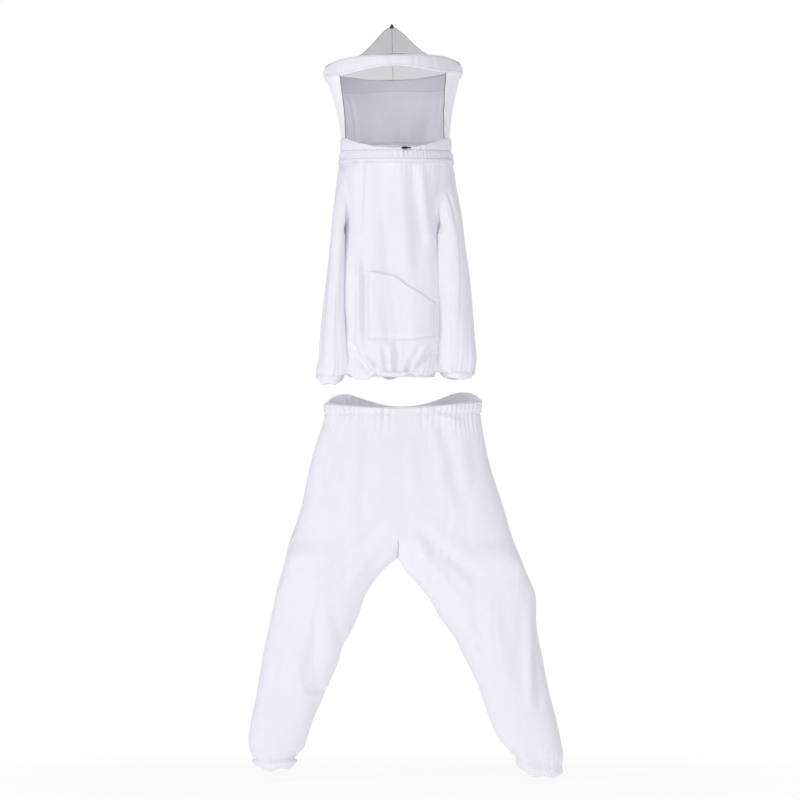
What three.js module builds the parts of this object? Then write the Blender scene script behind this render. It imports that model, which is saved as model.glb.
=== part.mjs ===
// Beekeeping suit, in millimetres, +Z up, front towards -Y, +X to the right of somebody facing it.
// A pull-over smock with a zipped-on round veil hood hangs above a separate pair of
// elastic-waist trousers.  Every cloth piece is a thin closed shell round a real hollow.
// The origin is the middle of the neck line, which a hanger or a wearer's shoulders carry.
import * as THREE from 'three';
import { ParametricGeometry } from 'three/addons/geometries/ParametricGeometry.js';

// ---------------------------------------------------------------- driving dimensions
const CLOTH = 2.6; // thickness of the shells that stand for cloth
const GAP = 0.8; // clearance between two sewn pieces
const TURN = Math.PI * 2;
const DEG = Math.PI / 180;

// hood
const HOOP_RADIUS = 190; // outside of the brim casing
const HOOP_Z = 1934;
const HOOP_TILT = -8 * DEG; // front edge up
const HOOP_ROLL = -1.4 * DEG; // right side a little higher
const CASING_HEIGHT = 33;
const CASING_DEPTH = 9;
const WIRE_RADIUS = 2;
const CROWN_TOP_Z = 2059;
const PEAK_HEIGHT = 11;
const MESH = 2;

// height of the neck line that carries the suit; heights below are above the lower ankle hem
const HOLD_Z = 1690;

// neck ring and zip, a true circle so the slider can run round it
const NECK_X = 8;
const NECK_RADIUS = 148;
const ZIP_Z = 1724;
const TAPE_HEIGHT = 6.4;
const COIL_RADIUS = 1;
const SLIDER_ANGLE = 8 * DEG; // right of the centre front

// smock
const COLLAR_TOP_Z = 1716;
const COLLAR_BOTTOM_Z = 1698.4;
const NECK_CASING_Z = 1690;
const YOKE_TOP_Z = 1681.6;
const ARMHOLE_Z = 1571;
const ARMHOLE_HALF_HEIGHT = 79;
const ARMHOLE_HALF_DEPTH = 78;
const UNDERARM_Z = 1490;
const HEM_Z = 1111;
const HEM_HEIGHT = 24;

// trousers
const WAIST_X = 29;
const WAIST_Z = 1015.5;
const WAIST_HEIGHT = 34;
const WAIST_HALF = 214;
const WAIST_DEPTH = 46;
const CROTCH_X = 14;
const CROTCH_Z = 604.5;

// height, middle X, half width, half depth of the smock body
const TORSO = [
  [1682, 9, 157, 150],
  [1655, 4, 151, 142],
  [1600, 1, 147, 132],
  [1490, -5, 141.5, 122],
  [1400, -6, 141, 118],
  [1300, -6, 141, 116],
  [1200, -3, 136, 112],
  [1150, -3, 129, 104],
  [1124, -3, 122, 95],
];

// height, side nearest the body, outer side, half depth of each hanging sleeve
const SLEEVES = {
  left: {
    hand: -1,
    bulge: 5,
    rows: [
      [1488, 149.5, 171, 78],
      [1400, 150.5, 178, 82],
      [1312, 149.5, 187, 82],
      [1202, 143, 198, 76],
      [1147, 138, 203, 68],
      [1118, 139, 204, 58],
    ],
    cuff: { inner: [140, 1101], outer: [203, 1098], depth: 52 },
  },
  right: {
    hand: 1,
    bulge: 17,
    rows: [
      [1488, 140.5, 199, 78],
      [1400, 139, 210, 84],
      [1312, 139, 215, 84],
      [1202, 138, 223, 78],
      [1147, 133, 225, 70],
      [1125, 132, 220, 60],
    ],
    cuff: { inner: [135, 1109], outer: [216, 1107], depth: 54 },
  },
};
const CUFF_HEIGHT = 26;

// height, left edge, right edge, half depth of the trousers above the crotch
const SEAT = [
  [992, -184, 238, 48],
  [940, -203, 246, 58],
  [840, -231, 270, 70],
  [740, -253, 300, 74],
  [640, -286, 333, 70],
  [606, -292, 347, 66],
];

// inner edge and outer edge (X, Z), half depth and squareness down each trouser leg
const LEGS = {
  left: {
    hand: -1,
    rows: [
      [[12, 603], [-292, 603], 66, 4],
      [[-22, 574], [-302, 578], 64, 3.4],
      [[-71, 509], [-318, 520], 62, 2.6],
      [[-113, 410], [-337, 425], 60, 2.3],
      [[-160, 311], [-357, 330], 58, 2.3],
      [[-195, 212], [-373, 235], 55, 2.3],
      [[-234, 113], [-392, 140], 50, 2.3],
      [[-262, 62], [-386, 66], 44, 2.3],
    ],
    ankle: { inner: [-268, 46], outer: [-380, 47], depth: 40 },
  },
  right: {
    hand: 1,
    rows: [
      [[16, 603], [347, 603], 66, 4],
      [[52, 552], [364, 566], 64, 3.4],
      [[110, 476], [392, 490], 62, 2.6],
      [[154, 410], [394, 425], 60, 2.3],
      [[206, 311], [410, 330], 58, 2.3],
      [[250, 212], [429, 235], 55, 2.3],
      [[294, 113], [456, 122], 50, 2.3],
      [[335, 52], [464, 34], 44, 2.3],
    ],
    ankle: { inner: [346, 36], outer: [458, 14], depth: 40 },
  },
};
const ANKLE_HEIGHT = 26;

// ---------------------------------------------------------------- small helpers
const mix = (from, to, f) => from + (to - from) * f;
const clamp = (x) => Math.min(1, Math.max(0, x));
const bend = (x, power) => Math.sign(x) * Math.pow(Math.abs(x), power);

// Values at a height from a list of rows whose first entry is a falling height.
function along(rows, height) {
  let i = 0;
  while (i < rows.length - 2 && height < rows[i + 1][0]) {
    i += 1;
  }
  const above = rows[i];
  const below = rows[i + 1];
  const f = clamp((above[0] - height) / (above[0] - below[0]));
  return above.slice(1).map((value, k) => mix(value, below[k + 1], f));
}

// A level or tilted oval: half width along `side`, half depth along `back`.
function oval({ x = 0, y = 0, z, half, depth, power = 2, tilt = 0, roll = 0 }) {
  const turn = new THREE.Euler(tilt, roll, 0);
  return {
    centre: new THREE.Vector3(x, y, z),
    side: new THREE.Vector3(1, 0, 0).applyEuler(turn),
    back: new THREE.Vector3(0, 1, 0).applyEuler(turn),
    up: new THREE.Vector3(0, 0, 1).applyEuler(turn),
    half,
    depth,
    power,
  };
}

// The oval seen edge-on between two points of the front view.
function ovalBetween(inner, outer, depth, power = 2) {
  const flip = Math.sign(outer[0] - inner[0]);
  const roll = -Math.atan2((outer[1] - inner[1]) * flip, Math.abs(outer[0] - inner[0]));
  return oval({
    x: (inner[0] + outer[0]) / 2,
    z: (inner[1] + outer[1]) / 2,
    half: Math.hypot(outer[0] - inner[0], outer[1] - inner[1]) / 2,
    depth,
    power,
    roll,
  });
}

// Point on an oval; phi is 0 at the front and grows towards +X.
function onOval(shape, phi, offset, rise, target) {
  const x = bend(Math.sin(phi), 2 / shape.power);
  const y = bend(Math.cos(phi), 2 / shape.power);
  const normalX = bend(x, shape.power - 1) / shape.half;
  const normalY = bend(y, shape.power - 1) / shape.depth;
  const length = Math.hypot(normalX, normalY);
  return target
    .copy(shape.centre)
    .addScaledVector(shape.side, shape.half * x + (offset * normalX) / length)
    .addScaledVector(shape.back, -shape.depth * y - (offset * normalY) / length)
    .addScaledVector(shape.up, rise);
}

function volumeOf(geometry) {
  const { position } = geometry.attributes;
  const [a, b, c] = [0, 1, 2].map(() => new THREE.Vector3());
  let total = 0;
  for (let i = 0; i < geometry.index.count; i += 3) {
    a.fromBufferAttribute(position, geometry.index.getX(i));
    b.fromBufferAttribute(position, geometry.index.getX(i + 1));
    c.fromBufferAttribute(position, geometry.index.getX(i + 2));
    total += a.dot(b.cross(c)) / 6;
  }
  return total;
}

// Closed parametric solid with its faces turned outwards.
function solid(surface, slices, stacks) {
  const first = new ParametricGeometry(surface, slices, stacks);
  if (volumeOf(first) > 0) {
    return first;
  }
  return new ParametricGeometry((u, v, target) => surface(1 - u, v, target), slices, stacks);
}

// Closed band: a closed cross section of [offset, rise] points carried round an oval.
function ring(shape, section, steps) {
  const points = typeof section === 'function' ? section : () => section;
  const count = points(0).length;
  return solid((u, v, target) => {
    const list = points(u * TURN);
    const w = v * count;
    const i = Math.floor(w) % count;
    const [from, to] = [list[i], list[(i + 1) % count]];
    const f = w - Math.floor(w);
    onOval(shape, u * TURN, mix(from[0], to[0], f), mix(from[1], to[1], f), target);
  }, steps, count);
}

// Wall coordinate for a loop that runs down the outside and back up the inside.
function wallAt(w, rows) {
  if (w <= rows) {
    return [w / rows, 0];
  }
  if (w <= rows + 1) {
    return [1, w - rows];
  }
  if (w <= 2 * rows + 1) {
    return [1 - (w - rows - 1) / rows, 1];
  }
  return [0, 2 * rows + 2 - w];
}

// Open-ended tube: surface(phi, b, offset, target) with b from one rim to the other.
function tube(surface, wall, steps, rows) {
  return solid((u, v, target) => {
    const [b, inside] = wallAt(v * (2 * rows + 2), rows);
    surface(u * TURN, b, -wall * inside, target);
  }, steps, 2 * rows + 2);
}

// Thin panel: surface(a, b, offset, target) with four free edges.
function panel(surface, wall, across, down) {
  return solid((u, v, target) => {
    const [a, inside] = wallAt(u * (2 * across + 2), across);
    const w = v * (down + 2);
    const b = clamp((w - 1) / down);
    const open = Math.min(1, w, down + 2 - w);
    surface(a, b, -wall * mix(0.5, inside, open), target);
  }, 2 * across + 2, down + 2);
}

// Folded casing open along its lower edge, with room for a wire or an elastic.
function foldedSection(depth, height, wall) {
  const half = height / 2;
  return [
    [0, -half],
    [0, half],
    [-depth, half],
    [-depth, -half],
    [wall - depth, -half],
    [wall - depth, half - wall],
    [-wall, half - wall],
    [-wall, -half],
  ];
}

const stripSection = (inset, wall, low, high) => [
  [-inset, low],
  [-inset, high],
  [-inset - wall, high],
  [-inset - wall, low],
];

function roundSection(inset, rise, radius, sides) {
  return Array.from({ length: sides }, (_, k) => [
    -inset + radius * Math.cos((k / sides) * TURN),
    rise + radius * Math.sin((k / sides) * TURN),
  ]);
}

const group = new THREE.Group();
group.name = 'beekeeping_suit';

function add(name, geometry, color, roughness = 0.9) {
  geometry.translate(0, 0, -HOLD_Z);
  const material = new THREE.MeshStandardMaterial({ color, roughness, metalness: 0 });
  material.name = `${name}_surface`;
  const mesh = new THREE.Mesh(geometry, material);
  mesh.name = name;
  group.add(mesh);
  return mesh;
}

const WHITE = '#eeedf8';
const SEAM_WHITE = '#e6e5f2';
const MESH_GREY = '#5d5c63';
const BLACK = '#1b1b1e';
const ELASTIC = '#f4f4f2';
const STEEL = '#8d8f94';

// ---------------------------------------------------------------- hood
const hoop = oval({
  z: HOOP_Z,
  half: HOOP_RADIUS,
  depth: HOOP_RADIUS,
  tilt: HOOP_TILT,
  roll: HOOP_ROLL,
});
const neck = oval({ x: NECK_X, z: ZIP_Z, half: NECK_RADIUS, depth: NECK_RADIUS });
const lower = new THREE.Vector3();
const scratch = new THREE.Vector3();

add('brim_casing', ring(hoop, foldedSection(CASING_DEPTH, CASING_HEIGHT, 2), 44), WHITE);
add('brim_hoop', ring(hoop, roundSection(CASING_DEPTH / 2, 6, WIRE_RADIUS, 6), 44), STEEL, 0.4);

// tented crown: share of the radius and share of the height from brim to peak
const tent = new THREE.SplineCurve([
  new THREE.Vector2(1, 0),
  new THREE.Vector2(0.7, 0.19),
  new THREE.Vector2(0.4, 0.41),
  new THREE.Vector2(0.28, 0.62),
  new THREE.Vector2(0.17, 0.83),
  new THREE.Vector2(0.055, 1),
]);

function crown(phi, b, offset, target) {
  const { x: reach, y: climb } = tent.getPoint(b);
  onOval(hoop, phi, -CASING_DEPTH / 2, CASING_HEIGHT / 2 + GAP + MESH, target);
  target.x *= reach;
  target.y *= reach;
  target.z = mix(target.z, CROWN_TOP_Z, climb) + offset * (1 - b * 0.4);
  target.x += (offset * Math.sin(phi)) * 0.5 * b - 3 * b;
  target.y -= (offset * Math.cos(phi)) * 0.5 * b;
  return target;
}

const GORES = {
  crown_gore_front_right: 0,
  crown_gore_back_right: 1,
  crown_gore_back_left: 2,
  crown_gore_front_left: 3,
};
for (const [name, quarter] of Object.entries(GORES)) {
  const surface = (a, b, offset, target) => {
    const edge = mix(0.4, 4, b) * DEG;
    const phi = mix((quarter * TURN) / 4 + edge, ((quarter + 1) * TURN) / 4 - edge, a);
    return crown(phi, b, offset, target);
  };
  add(name, panel(surface, MESH, 6, 6), MESH_GREY);
}

const peak = new THREE.LatheGeometry(
  [
    new THREE.Vector2(0, 0),
    new THREE.Vector2(8, 0),
    new THREE.Vector2(8.5, 3),
    new THREE.Vector2(5, 7),
    new THREE.Vector2(3, PEAK_HEIGHT),
    new THREE.Vector2(0, PEAK_HEIGHT),
  ],
  12,
);
peak.rotateX(Math.PI / 2);
peak.translate(-3, 0, CROWN_TOP_Z + 1);
add('crown_peak_binding', peak, BLACK);

// lower edge of the hood cloth above the zip, lowest at the centre front
const hoodEdge = (phi) => 13 + 17 * Math.min(1, (1 - Math.cos(phi)) / 0.55);

function hood(phi, b, offset, target) {
  const inset = CASING_DEPTH / 2 + 1;
  onOval(hoop, phi, offset - inset - 5 * Math.sin(Math.PI * b), -CASING_HEIGHT / 2 - GAP, target);
  onOval(neck, phi, offset - 5 * Math.sin(Math.PI * b), hoodEdge(phi), lower);
  return target.lerp(lower, b);
}

const VEIL_TOP = 51 * DEG;
const VEIL_BOTTOM = { left: -65 * DEG, right: 61 * DEG };
const BINDING = 1.3 * DEG;
const SEAM = 0.35 * DEG;
const REAR_SEAM = 128 * DEG;
const veilEdge = (hand, b) =>
  hand < 0 ? mix(-VEIL_TOP, VEIL_BOTTOM.left, b) : mix(VEIL_TOP, VEIL_BOTTOM.right, b);

const between = (fromEdge, toEdge) => (a, b, offset, target) =>
  hood(mix(fromEdge(b), toEdge(b), a), b, offset, target);

add('veil_mesh', panel(between((b) => veilEdge(-1, b), (b) => veilEdge(1, b)), MESH, 14, 5), MESH_GREY);
for (const [side, hand] of [['left', -1], ['right', 1]]) {
  const near = (b) => veilEdge(hand, b) + hand * SEAM;
  const far = (b) => veilEdge(hand, b) + hand * (SEAM + BINDING);
  add(`veil_edge_binding_${side}`, panel(between(near, far), MESH, 1, 5), BLACK);
  const start = (b) => veilEdge(hand, b) + hand * (SEAM * 2 + BINDING);
  add(`hood_side_panel_${side}`, panel(between(start, () => hand * REAR_SEAM), CLOTH, 7, 5), WHITE);
}
const rear = (a, b, offset, target) =>
  hood(mix(REAR_SEAM + SEAM, TURN - REAR_SEAM - SEAM, a), b, offset, target);
add('hood_back_panel', panel(rear, CLOTH, 10, 5), WHITE);

const hoodBand = (phi) => stripSection(-1, CLOTH, 8.2, hoodEdge(phi) - GAP);
add('hood_neck_band', ring(neck, hoodBand, 44), SEAM_WHITE);
add('zip_tape_upper', ring(neck, stripSection(0, 1.4, 1, 1 + TAPE_HEIGHT), 44), WHITE);
add('zip_coil_upper', ring(neck, roundSection(-1.4, 1.5, COIL_RADIUS, 5), 44), WHITE);

// ---------------------------------------------------------------- zip
add('zip_tape_lower', ring(neck, stripSection(0, 1.4, -1 - TAPE_HEIGHT, -1), 44), WHITE);
add('zip_coil_lower', ring(neck, roundSection(-1.4, -1.5, COIL_RADIUS, 5), 44), WHITE);

// slider: a plate with an arch, its eye running up and down
const sliderShape = new THREE.Shape();
sliderShape.moveTo(-5, 0);
sliderShape.lineTo(5, 0);
sliderShape.lineTo(5, 2.4);
sliderShape.lineTo(3.5, 2.4);
sliderShape.lineTo(3, 5.6);
sliderShape.lineTo(-3, 5.6);
sliderShape.lineTo(-3.5, 2.4);
sliderShape.lineTo(-5, 2.4);
const eye = new THREE.Path();
eye.moveTo(-2, 2.55);
eye.lineTo(-1.7, 4.4);
eye.lineTo(1.7, 4.4);
eye.lineTo(2, 2.55);
sliderShape.holes.push(eye);

// puller: a tab whose windowed end hooks through the arch
const pullShape = new THREE.Shape();
pullShape.moveTo(-0.6, -4);
pullShape.lineTo(6, -4);
pullShape.lineTo(9, -2.2);
pullShape.lineTo(18, -2);
pullShape.absarc(18, 0, 2, -Math.PI / 2, Math.PI / 2, false);
pullShape.lineTo(9, 2.2);
pullShape.lineTo(6, 4);
pullShape.lineTo(-0.6, 4);
const pullWindow = new THREE.Path();
pullWindow.moveTo(0.6, -3);
pullWindow.lineTo(0.6, 3);
pullWindow.lineTo(4.7, 3);
pullWindow.lineTo(4.7, -3);
pullShape.holes.push(pullWindow);

const SLIDER_OFFSET = 2.8;
const onZip = (geometry) => {
  geometry.rotateZ(SLIDER_ANGLE);
  onOval(neck, SLIDER_ANGLE, SLIDER_OFFSET, 0, scratch);
  geometry.translate(scratch.x, scratch.y, scratch.z);
  return geometry;
};
const slider = new THREE.ExtrudeGeometry(sliderShape, { depth: 5.4, bevelEnabled: false });
slider.translate(0, 0, -2.7);
slider.rotateX(Math.PI);
add('zip_slider', onZip(slider), BLACK, 0.45);
const pull = new THREE.ExtrudeGeometry(pullShape, { depth: 0.9, bevelEnabled: false, curveSegments: 5 });
pull.rotateX(Math.PI / 2);
pull.translate(0, -2.95, 0);
add('zip_pull', onZip(pull), BLACK, 0.45);

// ---------------------------------------------------------------- smock
function levelOval(z, x, half, depth, power = 2.4) {
  return oval({ x, z, half, depth, power });
}

const collar = (phi, b, offset, target) => {
  const radius = mix(150.5, 155, b);
  const z = mix(COLLAR_TOP_Z, COLLAR_BOTTOM_Z, b);
  return onOval(levelOval(z, NECK_X + b, radius, radius, 2), phi, offset, 0, target);
};
add('collar_band', tube(collar, CLOTH, 48, 2), WHITE);
const neckCasing = levelOval(NECK_CASING_Z, NECK_X + 1, 157.5, 155, 2);
add('neck_casing', ring(neckCasing, foldedSection(8, 14.8, 2), 36), SEAM_WHITE);
add('neck_elastic', ring(neckCasing, stripSection(3.2, 1.6, -5, 4), 36), ELASTIC);

// half opening of the armhole at a height, measured along Y
function armhole(z) {
  const f = (z - ARMHOLE_Z) / (ARMHOLE_HALF_HEIGHT + 2);
  return Math.abs(f) < 1 ? (ARMHOLE_HALF_DEPTH + 2) * Math.sqrt(1 - f * f) : 0;
}

function torsoOval(z) {
  const [x, half, depth] = along(TORSO, z);
  return levelOval(z, x, half, depth);
}

// rows close together round the armhole, wider apart below it
const PANEL_ROWS = [
  YOKE_TOP_Z, 1655, 1645, 1625, 1590, 1555, 1520, 1498, 1487, 1400, 1300, 1200, 1150,
  HEM_Z + HEM_HEIGHT / 2 + GAP,
];

function panelHeight(b) {
  const w = b * (PANEL_ROWS.length - 1);
  const i = Math.min(Math.floor(w), PANEL_ROWS.length - 2);
  return mix(PANEL_ROWS[i], PANEL_ROWS[i + 1], w - i);
}

function bodyPanel(facing) {
  return (a, b, offset, target) => {
    const z = panelHeight(b);
    const shape = torsoOval(z);
    const share = Math.max(0.7, armhole(z) + 1.5) / shape.depth;
    const edge = Math.asin(Math.pow(share, shape.power / 2));
    const phi = mix(-Math.PI / 2 + edge, Math.PI / 2 - edge, a);
    onOval(shape, phi, offset, 0, target);
    target.y *= facing;
    return target;
  };
}
add('front_panel', panel(bodyPanel(1), CLOTH, 14, PANEL_ROWS.length - 1), WHITE);
add('back_panel', panel(bodyPanel(-1), CLOTH, 14, PANEL_ROWS.length - 1), WHITE);

const hem = levelOval(HEM_Z, -3, 121, 94);
add('hem_casing', ring(hem, foldedSection(9, HEM_HEIGHT, 2), 36), WHITE);
add('hem_elastic', ring(hem, stripSection(3.6, 1.8, -9, 8), 36), ELASTIC);

// X of the smock side wall at a depth and height
function torsoSide(hand, y, z) {
  const shape = torsoOval(z);
  const share = Math.min(0.98, Math.abs(y) / shape.depth);
  return shape.centre.x + hand * shape.half * Math.pow(1 - Math.pow(share, 2.4), 1 / 2.4);
}

for (const [side, { hand, bulge, rows, cuff }] of Object.entries(SLEEVES)) {
  const sleeveOval = (z) => {
    const [inner, outer, depth] = along(rows, z);
    return levelOval(z, (hand * (inner + outer)) / 2, (outer - inner) / 2, depth, 2.2);
  };
  const topOval = sleeveOval(rows[0][0]);

  // set-in sleeve head: from the armhole outline on the body to the top of the hanging sleeve
  const head = (phi, b, offset, target) => {
    const rimY = -(ARMHOLE_HALF_DEPTH + offset) * Math.cos(phi);
    const rimZ = ARMHOLE_Z + (ARMHOLE_HALF_HEIGHT + offset) * Math.sin(phi) * hand;
    lower.set(torsoSide(hand, rimY, rimZ) + hand * 1.2, rimY, rimZ);
    onOval(topOval, phi, offset, 2.6, target);
    const outward = Math.max(0, Math.sin(phi) * hand);
    target.lerpVectors(lower, target, b);
    target.x += hand * bulge * outward * Math.sin(Math.PI * Math.sqrt(b));
    return target;
  };
  add(`sleeve_head_${side}`, tube(head, CLOTH, 22, 4), WHITE);

  const sleeve = (phi, b, offset, target) =>
    onOval(sleeveOval(mix(rows[0][0], rows.at(-1)[0], b)), phi, offset, 0, target);
  add(`sleeve_${side}`, tube(sleeve, CLOTH, 20, 5), WHITE);

  const edge = ovalBetween(
    [hand * cuff.inner[0], cuff.inner[1]],
    [hand * cuff.outer[0], cuff.outer[1]],
    cuff.depth,
    2.2,
  );
  add(`cuff_casing_${side}`, ring(edge, foldedSection(8, CUFF_HEIGHT, 2), 22), WHITE);
  add(`cuff_elastic_${side}`, ring(edge, stripSection(3.2, 1.6, -10, 9), 22), ELASTIC);
}

// patch pocket standing a finger's width off the front panel, open along its sloping top
const POCKET = { left: -67, right: 116, bottom: 1201, rise: 12 };
const pocketTop = (x) => 1386 - 82 * clamp((x + 20) / 130);
const pocket = (a, b, offset, target) => {
  const x = mix(POCKET.left, POCKET.right, a);
  const z = mix(POCKET.bottom, pocketTop(x), b);
  const shape = torsoOval(z);
  const share = Math.pow(Math.abs(x - shape.centre.x) / shape.half, 2.4);
  const surfaceY = -shape.depth * Math.pow(1 - share, 1 / 2.4);
  const sides = clamp((a * (1 - a)) / 0.07);
  const stand = 2.2 + POCKET.rise * sides * clamp(b / 0.2);
  return target.set(x, surfaceY - stand - CLOTH - offset, z);
};
add('pocket', panel(pocket, 2, 10, 6), WHITE);

// ---------------------------------------------------------------- trousers
// rise and fall of the waist edge: low at both centres, two peaks at the back, right side higher
const WAIST_ROLL = 4;
const WAIST_DIP = 15;
const WAIST_PEAKS = 28;
function waistWave(phi) {
  const front = Math.cos(phi);
  const side = Math.sin(phi);
  const peaks = front < 0 ? WAIST_PEAKS * Math.pow(Math.sin(2 * phi), 2) : 0;
  return WAIST_ROLL * side + peaks - WAIST_DIP * front * front;
}

const waist = levelOval(WAIST_Z, WAIST_X, WAIST_HALF, WAIST_DEPTH, 2.3);
const waved = (section) => (phi) => section.map(([offset, rise]) => [offset, rise + waistWave(phi)]);
add('waist_casing', ring(waist, waved(foldedSection(10, WAIST_HEIGHT, 2)), 44), WHITE);
add('waist_elastic', ring(waist, waved(stripSection(4, 2, -13, 12)), 44), ELASTIC);

const seatOval = (z) => {
  const [left, right, depth] = along(SEAT, z);
  return levelOval(z, (left + right) / 2, (right - left) / 2, depth, 2.5);
};

for (const [name, hand, facing] of [
  ['seat_front_left', -1, 1],
  ['seat_front_right', 1, 1],
  ['seat_back_left', -1, -1],
  ['seat_back_right', 1, -1],
]) {
  const surface = (a, b, offset, target) => {
    const base = seatOval(mix(SEAT[0][0], CROTCH_Z + 1.2, b));
    const seamX = mix(WAIST_X, CROTCH_X, b) - base.centre.x + hand * 0.6;
    const centre = Math.asin(bend(seamX / base.half, base.power / 2));
    const side = (hand * Math.PI) / 2 - hand * Math.asin(Math.pow(0.7 / base.depth, 1.25));
    const phi = mix(centre, side, a);
    onOval(base, phi, offset, 0, target);
    const top = facing > 0 ? phi : Math.PI - phi;
    target.z += waistWave(top) * Math.pow(1 - b, 2) + (1 - b) * 5;
    target.y *= facing;
    return target;
  };
  add(name, panel(surface, CLOTH, 7, 6), WHITE);
}

for (const [side, { hand, rows, ankle }] of Object.entries(LEGS)) {
  const legOval = (b) => {
    const w = b * (rows.length - 1);
    const i = Math.min(Math.floor(w), rows.length - 2);
    const f = w - i;
    const [above, below] = [rows[i], rows[i + 1]];
    const blend = (k) => above[k].map((value, n) => mix(value, below[k][n], f));
    return ovalBetween(blend(0), blend(1), mix(above[2], below[2], f), mix(above[3], below[3], f));
  };
  for (const [face, facing] of [['front', 1], ['back', -1]]) {
    const surface = (a, b, offset, target) => {
      const shape = legOval(b);
      const edge = Math.asin(Math.pow(0.7 / shape.depth, shape.power / 2));
      onOval(shape, mix(-Math.PI / 2 + edge, Math.PI / 2 - edge, a), offset, 0, target);
      target.y *= facing;
      return target;
    };
    add(`leg_${face}_${side}`, panel(surface, CLOTH, 8, 7), WHITE);
  }
  const edge = ovalBetween(ankle.inner, ankle.outer, ankle.depth, 2.2);
  add(`ankle_casing_${side}`, ring(edge, foldedSection(8, ANKLE_HEIGHT, 2), 26), WHITE);
  add(`ankle_elastic_${side}`, ring(edge, stripSection(3.2, 1.6, -10, 9), 26), ELASTIC);
}

export default group;
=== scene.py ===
import math

import bpy
import numpy as np
from mathutils import Euler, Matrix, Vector


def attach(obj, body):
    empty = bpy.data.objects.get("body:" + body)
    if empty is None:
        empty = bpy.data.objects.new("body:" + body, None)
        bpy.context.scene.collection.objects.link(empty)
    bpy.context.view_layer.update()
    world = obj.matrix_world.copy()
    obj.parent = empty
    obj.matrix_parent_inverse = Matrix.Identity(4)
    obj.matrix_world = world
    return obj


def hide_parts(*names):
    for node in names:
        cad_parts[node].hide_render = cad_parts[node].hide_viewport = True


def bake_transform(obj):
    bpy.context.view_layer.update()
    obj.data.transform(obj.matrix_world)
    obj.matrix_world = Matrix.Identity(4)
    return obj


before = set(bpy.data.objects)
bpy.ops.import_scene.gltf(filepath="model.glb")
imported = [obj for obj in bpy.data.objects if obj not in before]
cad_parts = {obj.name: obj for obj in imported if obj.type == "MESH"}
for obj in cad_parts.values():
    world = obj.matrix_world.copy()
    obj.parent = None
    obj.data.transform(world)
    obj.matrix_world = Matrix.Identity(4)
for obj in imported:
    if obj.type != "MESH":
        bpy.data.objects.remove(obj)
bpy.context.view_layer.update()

TURN = 2 * math.pi
HANDS = {"left": -1, "right": 1}
HOLD = 1690.0  # height of the frame's origin
SPAN = 2.2  # metres across the picture at the suit
DISTANCE = 16.0  # metres from the camera to the suit

# hood
HOOP_HEIGHT = 1934
HOOP_RADIUS = 190
NECK_HEIGHT = 1724
NECK_RADIUS = 148
NECK_MIDDLE = 8
CASING = 33
CROWN_TOP = 2060.0

# smock
SMOCK_TOP = 1684
SMOCK_FOOT = 1116
TUCK_HEIGHT = 1114
HEM_HEIGHT = 1111
SLEEVE_TOP = 1488  # the sleeve's hanging part starts here, at the foot of the armhole

# trousers
WAIST_HEIGHT = 1015.5
WAIST_MIDDLE = 29
WAIST_HALF = 214
TROUSER_TOP = 1029
CROTCH = 604
CROTCH_X = 14
ANKLE_BEND = 90  # below this height the cloth rows tip until they lie along the ankle hem


# ---- camera first
camera_data = bpy.data.cameras.new("camera")
camera_data.sensor_width = 36
camera_data.lens = 36 * DISTANCE / SPAN
camera_data.clip_end = 60
camera = bpy.data.objects.new("camera", camera_data)
bpy.context.scene.collection.objects.link(camera)
camera.location = (0.0193, -DISTANCE, -0.6533)
camera.rotation_euler = (math.pi / 2, 0, 0)
bpy.context.scene.camera = camera


# ---- numbers
def rng(seed):
    return np.random.default_rng(seed)


def smooth(x, low=0.0, high=1.0):
    t = np.clip((x - low) / (high - low), 0, 1)
    return t * t * (3 - 2 * t)


def mix(a, b, f):
    return a + (b - a) * f


def bend(x, power):
    return np.sign(x) * np.abs(x) ** power


def along(rows, z):
    """Each column of rows (height, values...) at the heights z, on a smooth curve."""
    table = np.array(rows, float)[::-1]
    heights = table[:, 0]
    out = []
    for column in table[:, 1:].T:
        slope = np.gradient(column, heights)
        i = np.clip(np.searchsorted(heights, z) - 1, 0, len(heights) - 2)
        gap = heights[i + 1] - heights[i]
        t = np.clip((z - heights[i]) / gap, 0, 1)
        out.append(
            (2 * t**3 - 3 * t**2 + 1) * column[i]
            + (t**3 - 2 * t**2 + t) * gap * slope[i]
            + (3 * t**2 - 2 * t**3) * column[i + 1]
            + (t**3 - t**2) * gap * slope[i + 1]
        )
    return out


def ripple(phi, low, high, seed):
    """Smooth periodic noise of about unit size, with whole waves between low and high."""
    r = rng(seed)
    total = 0.0
    weight = 0.0
    for k in range(low, high + 1):
        a = r.normal()
        total = total + a * np.sin(k * phi + r.uniform(0, TURN))
        weight += a * a
    return total / math.sqrt(max(weight, 1e-9) / 2) / 1.4


def gathers(phi, count, seed, sharp=0.75):
    """Gathered cloth: rounded ridges with sharp valleys, uneven in width; 0 in a valley, 1 on a ridge."""
    warp = phi + 0.9 / count * (2.2 * ripple(phi, 2, 9, seed) + 1.1 * ripple(phi, 10, 22, seed + 1))
    ridge = np.abs(np.sin(count * warp / 2)) ** sharp
    return ridge * (0.72 + 0.28 * ripple(phi, 3, 17, seed + 2))


def noise(u, v, seed):
    """Smooth random heights between -1 and 1, about one bump to each unit of u and v."""
    table = rng(seed).uniform(-1, 1, (61, 61))
    iu, iv = np.floor(u).astype(int), np.floor(v).astype(int)
    fu, fv = smooth(u - iu), smooth(v - iv)
    iu, iv = iu % 61, iv % 61
    next_u, next_v = (iu + 1) % 61, (iv + 1) % 61
    low = mix(table[iu, iv], table[next_u, iv], fu)
    high = mix(table[iu, next_v], table[next_u, next_v], fu)
    return mix(low, high, fv)


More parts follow.
